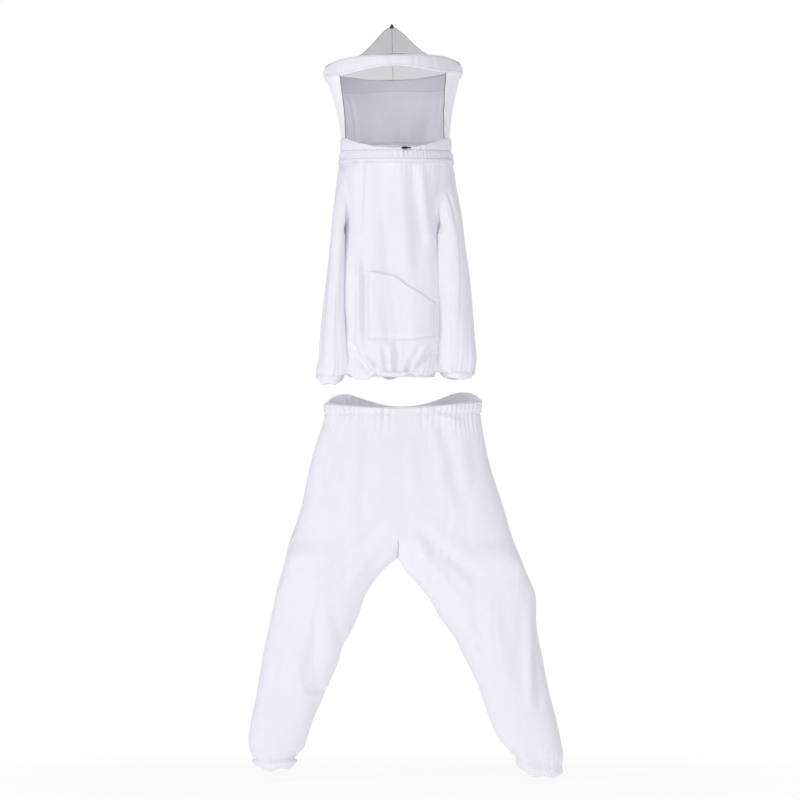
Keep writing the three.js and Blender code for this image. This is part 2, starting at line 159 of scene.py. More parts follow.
def crumple(a, b, seed, size_a, size_b):
    """Cloth folds with their own drift: rounded swells with creases between, size_a by size_b mm."""
    drift = noise(a / (2.3 * size_a), b / (1.3 * size_b), seed + 1)
    u = a / size_a + 0.75 * drift
    v = b / size_b + 0.4 * noise(a / (1.5 * size_a), b / (2.0 * size_b), seed + 2)
    swell = noise(u, v, seed)
    crease_line = 1 - 2.2 * (noise(u * 0.9 + 7, v * 0.8 + 3, seed + 3) ** 2 + 0.01) ** 0.38
    return 0.75 * swell - 0.45 * np.clip(crease_line, -0.6, 1)


def crease(x, z, start, end, width, depth):
    """A fold along the line from start to end (x, z): a valley (depth < 0) or a ridge (depth > 0)."""
    sx, sz = start
    dx, dz = end[0] - sx, end[1] - sz
    length2 = dx * dx + dz * dz
    t = ((x - sx) * dx + (z - sz) * dz) / length2
    away = ((x - sx) * dz - (z - sz) * dx) / math.sqrt(length2)
    ends = smooth(t, -0.1, 0.25) * (1 - smooth(t, 0.75, 1.1))
    u = away / width
    middle = np.exp(-u * u)
    shoulders = 0.45 * np.exp(-((u - 1.7) ** 2)) + 0.35 * np.exp(-((u + 1.8) ** 2))
    return depth * ends * (middle - shoulders)


def normals(p):
    du = np.gradient(p, axis=1)
    dv = np.gradient(p, axis=0)
    n = np.cross(du, dv)
    return n / np.maximum(np.linalg.norm(n, axis=2, keepdims=True), 1e-9)


# ---- ovals
def oval(z, half, depth, x=0.0, power=2.0, tilt=0.0, roll=0.0):
    """An oval ring: half wide to each side, depth to front and back, squarer with more power."""
    turn = np.array(Euler((tilt, roll, 0)).to_matrix())
    return dict(
        centre=np.array([x, 0, z], float),
        side=turn[:, 0],
        back=turn[:, 1],
        up=turn[:, 2],
        half=half,
        depth=depth,
        power=power,
    )


def oval_between(inner, outer, depth, power):
    """The oval whose ends are the points inner and outer (x, z)."""
    flip = math.copysign(1, outer[0] - inner[0])
    roll = -math.atan2((outer[1] - inner[1]) * flip, abs(outer[0] - inner[0]))
    return oval(
        (inner[1] + outer[1]) / 2,
        math.dist(inner, outer) / 2,
        depth,
        x=(inner[0] + outer[0]) / 2,
        power=power,
        roll=roll,
    )


def on_oval(s, phi, offset, rise):
    """Points on an oval: phi turns from the front towards +x, offset is outward, rise is along its axis."""
    x = bend(np.sin(phi), 2 / s["power"])
    y = bend(np.cos(phi), 2 / s["power"])
    nx = bend(x, s["power"] - 1) / s["half"]
    ny = bend(y, s["power"] - 1) / s["depth"]
    n = np.hypot(nx, ny)
    a = s["half"] * x + offset * nx / n
    b = -s["depth"] * y - offset * ny / n
    return (
        s["centre"]
        + np.asarray(a)[..., None] * s["side"]
        + np.asarray(b)[..., None] * s["back"]
        + np.asarray(rise + 0 * phi)[..., None] * s["up"]
    )


# ---- meshes
def mesh_from(name, points, closed_u=False, closed_v=False):
    """A grid of points (rows, columns, 3) as a mesh with UVs in metres."""
    rows, columns = points.shape[:2]
    co = points.reshape(-1, 3).copy()
    co[:, 2] -= HOLD
    co /= 1000
    index = np.arange(rows * columns).reshape(rows, columns)
    step_u = np.linalg.norm(np.diff(points, axis=1), axis=2).mean(0)
    step_v = np.linalg.norm(np.diff(points, axis=0), axis=2).mean(1)
    u = np.concatenate([[0], np.cumsum(step_u)]) / 1000
    v = np.concatenate([[0], np.cumsum(step_v)]) / 1000
    uv = np.stack(np.meshgrid(u, v), axis=2)
    if closed_u:
        index = np.concatenate([index, index[:, :1]], axis=1)
        edge = uv[:, -1:] + (uv[:, -1:] - uv[:, -2:-1])
        uv = np.concatenate([uv, edge], axis=1)
    if closed_v:
        index = np.concatenate([index, index[:1]], axis=0)
        edge = uv[-1:] + (uv[-1:] - uv[-2:-1])
        uv = np.concatenate([uv, edge], axis=0)
    corners = np.stack([index[:-1, :-1], index[:-1, 1:], index[1:, 1:], index[1:, :-1]], axis=-1)
    uvs = np.stack([uv[:-1, :-1], uv[:-1, 1:], uv[1:, 1:], uv[1:, :-1]], axis=-2)
    mesh = bpy.data.meshes.new(name)
    faces = corners.reshape(-1, 4)
    mesh.from_pydata(co.tolist(), [], faces.tolist())
    layer = mesh.uv_layers.new(name="cloth")
    layer.data.foreach_set("uv", uvs.reshape(-1).astype(np.float32))
    mesh.shade_smooth()
    obj = bpy.data.objects.new(name, mesh)
    bpy.context.scene.collection.objects.link(obj)
    return obj


def finish_piece(obj, body, material, nodes=(), blend=None):
    """Material, body, colour slot and the CAD nodes that the piece stands for."""
    obj.data.materials.clear()
    obj.data.materials.append(material)
    if blend:
        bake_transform(obj)
    else:
        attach(obj, body)
    if nodes:
        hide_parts(*nodes)
    return obj


def as_sheet(obj, points, closed=False):
    """Return the piece as it is: its grid of points, closed up when closed is set, is not used."""
    if closed:
        points = np.concatenate([points, points[:, :1]], axis=1)
    return obj


# ---- materials
# metres
THREAD_PITCH = 0.0011
STITCH_PITCH = 0.0042
STITCH_WIDTH = 0.0009
NET_PITCH = 0.0021


class Nodes:
    """Short hand for building one node tree."""

    def __init__(self, name):
        self.material = bpy.data.materials.new(name)
        self.material.use_nodes = True
        self.tree = self.material.node_tree
        self.shader = self.tree.nodes["Principled BSDF"]

    def add(self, kind, **values):
        node = self.tree.nodes.new(kind)
        for key, value in values.items():
            if hasattr(node, key):
                setattr(node, key, value)
            else:
                node.inputs[key].default_value = value
        return node

    def link(self, a, b):
        self.tree.links.new(a, b)

    def math(self, operation, a, b=None):
        node = self.add("ShaderNodeMath", operation=operation)
        for socket, value in zip(node.inputs, (a, b)):
            if value is None:
                continue
            if isinstance(value, (int, float)):
                socket.default_value = value
            else:
                self.link(value, socket)
        return node.outputs[0]


def stitch_lines(n, u, v, rows, columns):
    """Height of dashed stitch rows at UV positions rows (in v) and columns (in u)."""
    total = None
    for position, across, run in [(p, v, u) for p in rows] + [(p, u, v) for p in columns]:
        away = n.math("ABSOLUTE", n.math("SUBTRACT", across, position))
        line = n.math("SUBTRACT", 1.0, n.math("MULTIPLY", away, 1 / STITCH_WIDTH))
        line = n.math("MAXIMUM", line, 0.0)
        dash = n.math("FRACT", n.math("MULTIPLY", run, 1 / STITCH_PITCH))
        dash = n.math("LESS_THAN", dash, 0.7)
        one = n.math("MULTIPLY", line, dash)
        total = one if total is None else n.math("MAXIMUM", total, one)
    return total


def cotton(name, rows=(), columns=(), tint=(0.86, 0.85, 0.925), crinkle=0.5):
    """Woven cotton with small crinkles, and rows and columns of stitching where they are named."""
    n = Nodes(name)
    s = n.shader
    s.inputs["Sheen Weight"].default_value = 0.22
    s.inputs["Sheen Roughness"].default_value = 0.45
    s.inputs["Specular IOR Level"].default_value = 0.22
    uv = n.add("ShaderNodeUVMap", uv_map="cloth")
    split = n.add("ShaderNodeSeparateXYZ")
    n.link(uv.outputs[0], split.inputs[0])
    u, v = split.outputs[0], split.outputs[1]
    place_in = n.add("ShaderNodeNewGeometry")
    broad = n.add("ShaderNodeTexNoise", Scale=5.0, Detail=3.0, Roughness=0.55)
    n.link(place_in.outputs["Position"], broad.inputs["Vector"])
    fine = n.add("ShaderNodeTexNoise", Scale=42.0, Detail=5.0, Roughness=0.6, Distortion=0.4)
    n.link(uv.outputs[0], fine.inputs["Vector"])
    slub = n.add("ShaderNodeTexNoise", Scale=700.0, Detail=2.0, Roughness=0.6)
    n.link(uv.outputs[0], slub.inputs["Vector"])
    warp = n.math("SINE", n.math("MULTIPLY", u, TURN / THREAD_PITCH))
    weft = n.math("SINE", n.math("MULTIPLY", v, TURN / THREAD_PITCH))
    thread = n.math("MULTIPLY", n.math("MULTIPLY", warp, weft), 0.5)
    thread = n.math("ADD", thread, n.math("MULTIPLY", slub.outputs[0], 0.8))
    ramp = n.add("ShaderNodeValToRGB")
    ramp.color_ramp.elements[0].position = 0.3
    ramp.color_ramp.elements[1].position = 0.72
    ramp.color_ramp.elements[0].color = (tint[0] * 0.955, tint[1] * 0.95, tint[2] * 0.975, 1)
    ramp.color_ramp.elements[1].color = (*tint, 1)
    broad_share = n.math("MULTIPLY", broad.outputs[0], 0.6)
    fine_share = n.math("MULTIPLY", fine.outputs[0], 0.4)
    shade = n.math("ADD", broad_share, fine_share)
    shade = n.math("ADD", shade, n.math("MULTIPLY", thread, 0.06))
    colour = ramp.outputs[0]
    n.link(shade, ramp.inputs[0])
    first = n.add("ShaderNodeBump", Strength=crinkle, Distance=0.004)
    n.link(fine.outputs[0], first.inputs["Height"])
    second = n.add("ShaderNodeBump", Strength=0.35, Distance=0.0003)
    n.link(thread, second.inputs["Height"])
    n.link(first.outputs[0], second.inputs["Normal"])
    last = second
    if rows or columns:
        stitch = stitch_lines(n, u, v, rows, columns)
        third = n.add("ShaderNodeBump", Strength=0.9, Distance=0.0008)
        n.link(stitch, third.inputs["Height"])
        n.link(second.outputs[0], third.inputs["Normal"])
        last = third
        darker = n.add("ShaderNodeMix", data_type="RGBA")
        n.link(n.math("MULTIPLY", stitch, 0.35), darker.inputs[0])
        n.link(colour, darker.inputs[6])
        darker.inputs[7].default_value = (tint[0] * 0.72, tint[1] * 0.72, tint[2] * 0.76, 1)
        colour = darker.outputs[2]
    n.link(colour, s.inputs["Base Color"])
    n.link(last.outputs[0], s.inputs["Normal"])
    rough = n.math("ADD", n.math("MULTIPLY", fine.outputs[0], 0.12), 0.8)
    n.link(rough, s.inputs["Roughness"])
    return n.material


def open_mesh(name, thin, thick):
    """Black knitted net: a fine square grid, clear between its threads."""
    n = Nodes(name)
    s = n.shader
    s.inputs["Base Color"].default_value = (0.075, 0.065, 0.13, 1)
    s.inputs["Roughness"].default_value = 0.6
    s.inputs["Sheen Weight"].default_value = 0.1
    uv = n.add("ShaderNodeUVMap", uv_map="cloth")
    split = n.add("ShaderNodeSeparateXYZ")
    n.link(uv.outputs[0], split.inputs[0])
    lines = []
    for axis in (split.outputs[0], split.outputs[1]):
        wave = n.math("COSINE", n.math("MULTIPLY", axis, TURN / NET_PITCH))
        lines.append(n.math("POWER", n.math("MAXIMUM", wave, 0.0), 6.0))
    net = n.math("MAXIMUM", lines[0], lines[1])
    cloud = n.add("ShaderNodeTexNoise", Scale=9.0, Detail=2.0)
    n.link(uv.outputs[0], cloud.inputs["Vector"])
    tone = n.math("ADD", n.math("MULTIPLY", cloud.outputs[0], 0.05), thin - 0.02)
    alpha = n.math("ADD", tone, n.math("MULTIPLY", net, thick))
    n.link(alpha, s.inputs["Alpha"])
    bump = n.add("ShaderNodeBump", Strength=0.4, Distance=0.0003)
    n.link(net, bump.inputs["Height"])
    n.link(bump.outputs[0], s.inputs["Normal"])
    return n.material


def plain(name, colour, roughness, metallic=0.0, scale=300.0, bump=0.3, sheen=0.0):
    """One colour with a little grain in its tone, gloss and surface."""
    n = Nodes(name)
    s = n.shader
    s.inputs["Metallic"].default_value = metallic
    s.inputs["Sheen Weight"].default_value = sheen
    where = n.add("ShaderNodeNewGeometry")
    grain = n.add("ShaderNodeTexNoise", Scale=scale, Detail=4.0, Roughness=0.6)
    n.link(where.outputs["Position"], grain.inputs["Vector"])
    ramp = n.add("ShaderNodeValToRGB")
    ramp.color_ramp.elements[0].color = (*[c * 0.8 for c in colour], 1)
    ramp.color_ramp.elements[1].color = (*[min(1, c * 1.1) for c in colour], 1)
    n.link(grain.outputs[0], ramp.inputs[0])
    n.link(ramp.outputs[0], s.inputs["Base Color"])
    rough = n.math("ADD", n.math("MULTIPLY", grain.outputs[0], 0.16), roughness - 0.08)
    n.link(rough, s.inputs["Roughness"])
    height = n.add("ShaderNodeBump", Strength=bump, Distance=0.0004)
    n.link(grain.outputs[0], height.inputs["Height"])
    n.link(height.outputs[0], s.inputs["Normal"])
    return n.material


# ---- hood
HOOP = oval(HOOP_HEIGHT, HOOP_RADIUS, HOOP_RADIUS, tilt=math.radians(-8.0), roll=math.radians(-1.4))
NECK = oval(NECK_HEIGHT, NECK_RADIUS, NECK_RADIUS, x=NECK_MIDDLE)
UPWARD = np.array([0, 0, 1.0])
VEIL_TOP = math.radians(51)
VEIL_LOW = (math.radians(-65), math.radians(61))
REAR = math.radians(128)


def brim_low(phi):
    """Lower edge of the brim casing, from the hoop's middle line: it arches over the veil."""
    side = np.abs(np.sin(phi))
    return -CASING / 2 + 2.5 - 11.5 * np.sin(2 * phi) ** 2 + 7 * side**6


def brim_high(phi):
    """Upper edge of the brim casing."""
    side = np.abs(np.sin(phi))
    return CASING / 2 + 3 * np.sin(2 * phi) ** 2 - 7 * side**8


def hood_edge(phi):
    """Lower edge of the hood cloth above the zip: it dips to the zip at the centre front."""
    return -1 + 29 * np.minimum(1, (1 - np.cos(phi)) / 0.55) ** 0.9


def hood_surface(phi, b, offset=0.0):
    """The hood's cloth wall: b runs from the brim (0) to the neck (1)."""
    bow = -6 * np.sin(math.pi * b)
    top = on_oval(HOOP, phi, offset - 5 + bow, brim_low(phi) + 2)
    low = on_oval(NECK, phi, offset + 1.5 + bow, 0 * phi) + hood_edge(phi)[..., None] * UPWARD
    return top + (low - top) * b[..., None]


def veil_edge(hand, b):
    """Where the veil's side seam runs: narrower at the neck than at the brim."""
    return mix(hand * VEIL_TOP, VEIL_LOW[0] if hand < 0 else VEIL_LOW[1], b)


def hood_patch(start, end, columns, rows, folds):
    """The part of the hood's wall between the angles start(b) and end(b), moved out by folds(phi, b)."""
    b = np.linspace(0, 1, rows)[:, None] * np.ones(columns)
    a = np.linspace(0, 1, columns)[None, :] * np.ones((rows, 1))
    phi = mix(start(b), end(b), a)
    p = hood_surface(phi, b)
    return p + normals(p) * folds(phi, b)[..., None]


def make_veil():
    def start(b):
        return veil_edge(-1, b)

    def end(b):
        return veil_edge(1, b)

    def folds(phi, b):
        return 4.0 * crumple(phi * 150, b * 200, 7, 55, 190) * np.sin(math.pi * b)

    net = open_mesh("veil_net", thin=0.055, thick=0.2)
    grid = hood_patch(start, end, 110, 70, folds)
    veil = mesh_from("veil", grid)
    finish_piece(veil, "hood", net, ["veil_mesh"])
    as_sheet(veil, grid)


def make_veil_binding(side, hand):
    """A thin bound edge that wanders a little along the veil's side seam."""
    b = np.linspace(0, 1, 120)
    kink = 0.006 * noise(b * 9, 0 * b + 3, 11 + hand) + 0.004 * noise(b * 26, 0 * b + 5, 13 + hand)
    middle = veil_edge(hand, b) + kink
    thin = 0.55 + 0.45 * noise(b * 14, 0 * b, 17 + hand)
    loops = []
    for turn in np.linspace(0, TURN, 9)[:-1]:
        wide = math.radians(0.42) * thin * math.cos(turn)
        loops.append(hood_surface(middle + wide, b, 1.6 + 1.1 * math.sin(turn)))
    edge = mesh_from(f"veil_binding_{side}", np.stack(loops, axis=1), closed_u=True)
    finish_piece(edge, "hood", binding, [f"veil_edge_binding_{side}"])


def make_hood_side(side, hand):
    def start(b):
        return veil_edge(hand, b) + hand * math.radians(0.2)

    def end(b):
        return hand * (REAR + 0 * b)

    def folds(phi, b):
        soft = 4.2 * crumple(phi * 160, b * 200, 20 + hand, 34, 230) * smooth(b, 0, 0.25)
        pulls = 1.9 * (gathers(phi, 46, 25 + hand) - 0.4) * smooth(b, 0.62, 1.0)
        return soft + pulls

    grid = hood_patch(start, end, 110, 60, folds)
    panel = mesh_from(f"hood_side_{side}", grid)
    finish_piece(panel, "hood", hood_cloth_painted_light, [f"hood_side_panel_{side}"])
    as_sheet(panel, grid)


def make_hood_back():
    def start(b):
        return REAR + 0 * b

    def end(b):
        return TURN - REAR + 0 * b

    def folds(phi, b):
        soft = 9.0 * crumple(phi * 160, b * 200, 31, 36, 260) * smooth(b, 0.0, 0.2)
        pulls = 1.8 * gathers(phi, 46, 33) * smooth(b, 0.6, 1.0)
        return soft + pulls

    grid = hood_patch(start, end, 140, 60, folds)
    rear = mesh_from("hood_back", grid)
    finish_piece(rear, "hood", hood_cloth_painted_light, ["hood_back_panel"])
    as_sheet(rear, grid)


make_veil()
binding = plain("binding_black", (0.03, 0.03, 0.034), 0.75, scale=900, bump=0.5, sheen=0.3)
for side, hand in HANDS.items():
    make_veil_binding(side, hand)
# painted light: the hood's cotton gets a lighter tint than the smock's, standing in for light that does not
# reach the shaded inside of the hood behind the veil
hood_cloth_painted_light = cotton("hood_cotton_painted_light", tint=(0.94, 0.93, 0.985), crinkle=0.5)
for side, hand in HANDS.items():
    make_hood_side(side, hand)
make_hood_back()


def casing_ring(
    name, shape, height, depth, puff, count, seed, columns, wave=None, edges=None, roll_edge=1.0, soft=2.0
):
    """A gathered cloth casing: a closed, puffed band with puckers down its face."""
    section = []
    half = height / 2
    for t in np.linspace(0, 1, 13):
        bulge = math.sin(math.pi * t) ** 0.6
        section.append((puff * bulge, mix(-half, half, t), bulge))
    for t in np.linspace(0, 1, 5)[1:-1]:
        section.append((-depth * t, half + roll_edge * math.sin(math.pi * t), 0.35))
    for t in np.linspace(0, 1, 9):
        section.append((-depth - 0.3 * puff * math.sin(math.pi * t), mix(half, -half, t), 0.5))
    for t in np.linspace(0, 1, 5)[1:-1]:
        section.append((-depth * (1 - t), -half - roll_edge * math.sin(math.pi * t), 0.35))
    phi = np.linspace(0, TURN, columns, endpoint=False)
    pucker = gathers(phi, count, seed) - 0.5
    drift = ripple(phi, 3, 14, seed + 5)
    grid = []
    for offset, rise, weight in section:
        slant = 0.5 * ripple(phi + rise * 0.004, 8, 20, seed + 9)
        move = weight * (soft * pucker + 0.35 * soft * slant)
        lift = wave(phi) if wave else 0.0
        level = rise
        if edges:
            level = mix(edges[0](phi), edges[1](phi), (rise + half) / height)
        grid.append(on_oval(shape, phi, offset + move, level + 0.4 * drift + lift))
    return mesh_from(name, np.array(grid), closed_u=True, closed_v=True)


def make_brim():
    edges = (brim_low, brim_high)
    brim = casing_ring(
        "brim", HOOP, CASING, 9, 1.8, 40, 41, columns=460, edges=edges, soft=2.4, roll_edge=0.6
    )
    paint = cotton("brim_cotton", rows=(0.004, 0.03), crinkle=0.5)
    finish_piece(brim, "hood", paint, ["brim_casing"])


def make_rolled_edge():
    """The band that the hood's cloth and veil are sewn into above the zip."""
    phi = np.linspace(0, TURN, 460, endpoint=False)
    rows = []
    low, high = -4.0, hood_edge(phi) + 2.0
    middle, half = (low + high) / 2, (high - low) / 2
    rim = 0.5 * ripple(phi, 9, 30, 53)
    for turn in np.linspace(0, TURN, 19)[:-1]:
        pull = 2.4 * (gathers(phi, 78, 51) - 0.45) * (1 + math.cos(turn)) / 2
        out = 2.6 + 2.0 * math.cos(turn)
        rise = middle + half * math.sin(turn) + rim
        rows.append(on_oval(NECK, phi, out + pull, 0 * phi) + rise[:, None] * UPWARD)
    band = mesh_from("hood_rolled_edge", np.array(rows), closed_u=True, closed_v=True)
    finish_piece(band, "hood", cotton("band_cotton", crinkle=0.6), ["hood_neck_band"])


make_brim()
make_rolled_edge()

# tented crown of four gores, sagging a little between the seams
TENT = [(1.0, 0.0), (0.7, 0.12), (0.47, 0.33), (0.31, 0.57), (0.17, 0.83), (0.055, 1.0)]


def crown_surface(phi, b):
    """The tent from the brim (b = 0) to its peak (b = 1)."""
    t = b * (len(TENT) - 1)
    reach = np.interp(t, range(len(TENT)), [q[0] for q in TENT])
    climb = np.interp(t, range(len(TENT)), [q[1] for q in TENT])
    p = on_oval(HOOP, phi, -2 + 0 * phi, CASING / 2 + 0.5)
    seams = np.abs(np.sin(2 * phi))
    x = p[..., 0] * reach - 3 * b
    y = p[..., 1] * reach
    sag = 5.0 * seams * np.sin(math.pi * np.clip(b * 1.1, 0, 1))
    z = mix(p[..., 2], CROWN_TOP, climb) - sag
    return np.stack([x, y, z], axis=-1)


def make_crown_gore(index, name, net):
    b = np.linspace(0, 1, 70)[:, None] * np.ones(56)
    a = np.linspace(0, 1, 56)[None, :] * np.ones((70, 1))
    phi = (index + a) * TURN / 4
    p = crown_surface(phi, b)
    folds = 3.0 * crumple(phi * 120, b * 150, 60 + index, 34, 90) * np.sin(math.pi * a)
    p = p + normals(p) * folds[..., None]
    gore = mesh_from(f"crown_{name}", p)
    finish_piece(gore, "hood", net, [f"crown_gore_{name}"])
    as_sheet(gore, p)


def crown_seam(name, points, radius, material):
    """A thin sewn ridge that follows points (n, 3) in millimetres."""
    tangent = np.gradient(points, axis=0)
    tangent /= np.maximum(np.linalg.norm(tangent, axis=1, keepdims=True), 1e-9)
    helper = np.array([0.3, 0.2, 0.93])
    one = np.cross(tangent, helper)
    one /= np.maximum(np.linalg.norm(one, axis=1, keepdims=True), 1e-9)
    two = np.cross(tangent, one)
    loops = []
    for turn in np.arange(6) * TURN / 6:
        loops.append(points + radius * (math.cos(turn) * one + math.sin(turn) * two))
    ridge = mesh_from(name, np.stack(loops, axis=1), closed_u=True)
    finish_piece(ridge, "hood", material)


def make_crown_seams():
    paint = plain("crown_seam", (0.2, 0.2, 0.22), 0.8, scale=800, bump=0.4)
    b = np.linspace(0, 1, 60)
    for index in range(4):
        line = crown_surface(np.full(60, index * TURN / 4), b)
        crown_seam(f"crown_seam_{index}", line, 0.6, paint)
    phi = np.linspace(0, TURN, 181)
    crown_seam("crown_rim_seam", crown_surface(phi, np.full(181, 0.012)), 1.0, paint)


def make_crown_peak():
    """The small bound tip where the four gores meet."""
    phi = np.linspace(0, TURN, 24, endpoint=False)
    wobble = 1 + 0.12 * np.sin(4 * phi) + 0.05 * np.sin(9 * phi + 1)
    profile = ((1, -2), (5.5, -1.5), (6.4, 0), (5.2, 3), (3.8, 6), (2.6, 9), (0.6, 10.5))
    rings = []
    for radius, rise in profile:
        x = -3 + radius * wobble * np.sin(phi)
        y = -radius * wobble * np.cos(phi)
        rings.append(np.stack([x, y, CROWN_TOP + rise + 0 * phi], axis=-1))
    peak = mesh_from("crown_peak", np.array(rings), closed_u=True)
    finish_piece(peak, "hood", binding, ["crown_peak_binding"])


crown_net = open_mesh("crown_net", thin=0.21, thick=0.32)
for index, name in enumerate(("front_right", "back_right", "back_left", "front_left")):
    make_crown_gore(index, name, crown_net)
make_crown_seams()
make_crown_peak()


def blouse(shape, phi, reach, drop, pull, seed):
    """Rows of cloth that swell over an elastic casing and turn in under it."""
    rows = []
    middle = 0.22 + 0.78 * np.abs(np.cos(phi))
    uneven = 1 + 0.1 * ripple(phi, 2, 7, seed)
    for turn in np.linspace(0.05, 0.86, 9) * math.pi:
        offset = 2.0 + reach * math.cos(turn) + pull * (0.6 + 0.4 * math.cos(turn))
        rows.append(on_oval(shape, phi, offset, 3 - drop * middle * uneven * math.sin(turn)))
    return rows


# ---- smock
# height, left side, right side, half depth, squareness
TORSO = [
    (1684, -149, 167, 151, 2.2),
    (1655, -147, 160, 142, 2.4),
    (1600, -147, 151, 132, 2.4),
    (1490, -149, 139, 122, 2.5),
    (1400, -152, 137, 118, 3.0),
    (1300, -152, 138, 116, 3.0),
    (1200, -143, 136, 112, 2.8),
    (1160, -137, 131, 108, 2.6),
    (1130, -132, 126, 103, 2.5),
    (1110, -128, 121, 99, 2.4),
]
ARMHOLE_Z, ARMHOLE_HIGH, ARMHOLE_DEEP = 1584, 94, 80


def torso_at(z):
    """Middle, half width, half depth and squareness of the body at height z."""
    left, right, depth, power = along(TORSO, z)
    return (left + right) / 2, (right - left) / 2, depth, power


def torso(phi, z, offset=0.0):
    cx, half, depth, power = torso_at(z)
    x, y = bend(np.sin(phi), 2 / power), bend(np.cos(phi), 2 / power)
    nx, ny = bend(x, power - 1) / half, bend(y, power - 1) / depth
    n = np.hypot(nx, ny)
    return np.stack([cx + half * x + offset * nx / n, -depth * y - offset * ny / n, z + 0 * phi], axis=-1)


def armhole(z):
    """Half depth of the armhole at height z, 0 above and below it."""
    f = (z - ARMHOLE_Z) / ARMHOLE_HIGH
    return np.where(np.abs(f) < 1, ARMHOLE_DEEP * np.sqrt(np.clip(1 - f * f, 0, 1)), 0)


# creases of the smock: start and end (x, height), half width, depth
FRONT_CREASES = [
    ((-78, 1440), (-74, 1180), 9, -7.5),
    ((-96, 1420), (-92, 1200), 8, 4.5),
    ((76, 1690), (104, 1440), 13, 5.5),
    ((-52, 1690), (-92, 1470), 16, 4.0),
    ((8, 1650), (2, 1420), 22, -3.0),
    ((-120, 1200), (-60, 1108), 9, -9.5),
    ((-100, 1170), (-40, 1112), 8, 7.0),
    ((8, 1200), (9, 1100), 8, -10.0),
    ((-24, 1185), (-16, 1104), 8, -7.0),
    ((52, 1112), (128, 1198), 9, -10.0),
    ((34, 1108), (74, 1180), 8, -7.5),
]
BACK_CREASES = [
    ((-60, 1660), (-80, 1380), 15, -6.0),
    ((40, 1680), (64, 1300), 16, -6.0),
    ((0, 1500), (-20, 1180), 18, 6.0),
    ((-90, 1260), (-60, 1110), 10, -6.0),
    ((90, 1240), (52, 1108), 10, -6.0),
    ((20, 1220), (10, 1104), 8, -6.0),
]


def creases(x, z, rows):
    total = 0.0
    for start, end, width, depth in rows:
        total = total + crease(x, z, start, end, width, depth)
    return total


def body_folds(x, z, phi, facing):
    """How far the smock stands out, from its named creases, a soft crumple and the gathers."""
    d = creases(x, z, FRONT_CREASES if facing > 0 else BACK_CREASES)
    d = d + 10.0 * crumple(x, z, 71 + facing, 50, 430) + 2.2 * crumple(x, z, 75 + facing, 26, 120)
    d = d + 2.8 * (gathers(phi, 74, 80) - 0.45) * smooth(z, 1600, 1684) ** 2
    d = d + 4.0 * (gathers(phi, 46, 84) - 0.45) * (1 - smooth(z, 1112, 1200)) ** 1.6
    return d


def hem_lift(phi):
    """The hem hangs lower at the centre than at the sides."""
    return 8 * np.abs(np.sin(phi)) ** 5


def hem_drop(x, facing):
    """How far each lobe of the gathered hem hangs below its elastic."""
    notches = (-130, -52, 52, 126) if facing > 0 else (-130, -40, 30, 126)
    depths = (25, 14, 13) if facing > 0 else (15, 20, 13)
    drop = np.zeros_like(x)
    for left, right, depth in zip(notches[:-1], notches[1:], depths):
        t = np.clip((x - left) / (right - left), 0, 1)
        drop = np.maximum(drop, depth * np.sin(math.pi * t) ** 0.6)
    return drop


def smock_panel(name, facing, node, material):
    """Front (facing 1) or back (facing -1), cut out for the sleeves and tucked under at the hem."""
    columns = 190
    rows, flat_rows = [], []
    seam = smooth(np.minimum(np.arange(columns), np.arange(columns)[::-1]), 0, 9)
    for z in np.linspace(SMOCK_TOP, SMOCK_FOOT, 170):
        depth, power = torso_at(np.array(z))[2:]
        share = float(np.clip((armhole(z) + 0.01) / depth, 0, 0.95))
        edge = math.asin(share ** (power / 2))
        phi = np.linspace(-math.pi / 2 + edge, math.pi / 2 - edge, columns)
        if facing < 0:
            phi = math.pi - phi
        puff = 5.0 * math.exp(-(((z - 1122) / 24) ** 2))
        base = torso(phi, z + 0 * phi)
        flat_rows.append(base)
        rows.append(torso(phi, z + 0 * phi, puff + seam * body_folds(base[:, 0], z, phi, facing)))
        rows[-1][:, 2] += hem_lift(phi) * (1 - smooth(z, SMOCK_FOOT, 1260))
    pull = 4.0 * (gathers(phi, 46, 84) - 0.45) * seam
    drop = 3 + hem_drop(rows[-1][:, 0], facing) * (0.85 + 0.15 * ripple(phi, 9, 24, 86))
    for turn in np.linspace(0.05, 0.86, 10) * math.pi:
        out = 8 * math.cos(turn) - 1 + pull * (0.6 + 0.4 * math.cos(turn))
        rows.append(torso(phi, np.full(columns, TUCK_HEIGHT - 2.0), out))
        rows[-1][:, 2] = TUCK_HEIGHT - drop * math.sin(turn) + hem_lift(phi)
    piece = finish_piece(mesh_from(name, np.array(rows)), "smock", material, [node])
    as_sheet(piece, np.array(flat_rows))


body_cotton = cotton("smock_cotton", crinkle=0.35)
smock_panel("smock_front", 1, "front_panel", body_cotton)
smock_panel("smock_back", -1, "back_panel", body_cotton)


def make_hem():
    shape = oval(HEM_HEIGHT, 118, 91, x=-3, power=2.4)
    hem = casing_ring("smock_hem", shape, 21, 8, 1.2, 60, 90, columns=420, soft=1.8)
    finish_piece(hem, "smock", cotton("hem_cotton", rows=(0.004, 0.019)), ["hem_casing"])


make_hem()


def make_collar():
    """The gathered collar band: it flares a little and turns back inside."""
    phi = np.linspace(0, TURN, 420, endpoint=False)
    rows = []
    for t in np.linspace(0, 1, 14):
        radius = mix(150.5, 155.5, t)
        bulge = 2.6 * math.sin(math.pi * t)
        fold = (gathers(phi, 84, 95) - 0.5) * mix(1.6, 3.6, math.sin(math.pi * t))
        shape = oval(mix(1721, 1697, t), radius, radius, x=NECK_MIDDLE + t)
        rows.append(on_oval(shape, phi, bulge + fold, 0.5 * ripple(phi, 4, 12, 97)))
    for t in np.linspace(1, 0, 6):
        radius = mix(147, 152.5, t)
        shape = oval(mix(1717, 1697, t), radius, radius, x=NECK_MIDDLE + t)
        rows.append(on_oval(shape, phi, 0, 0))
    collar = mesh_from("collar", np.array(rows), closed_u=True, closed_v=True)
    paint = cotton("collar_cotton", rows=(0.002, 0.02))
    finish_piece(collar, "smock", paint, ["collar_band"])


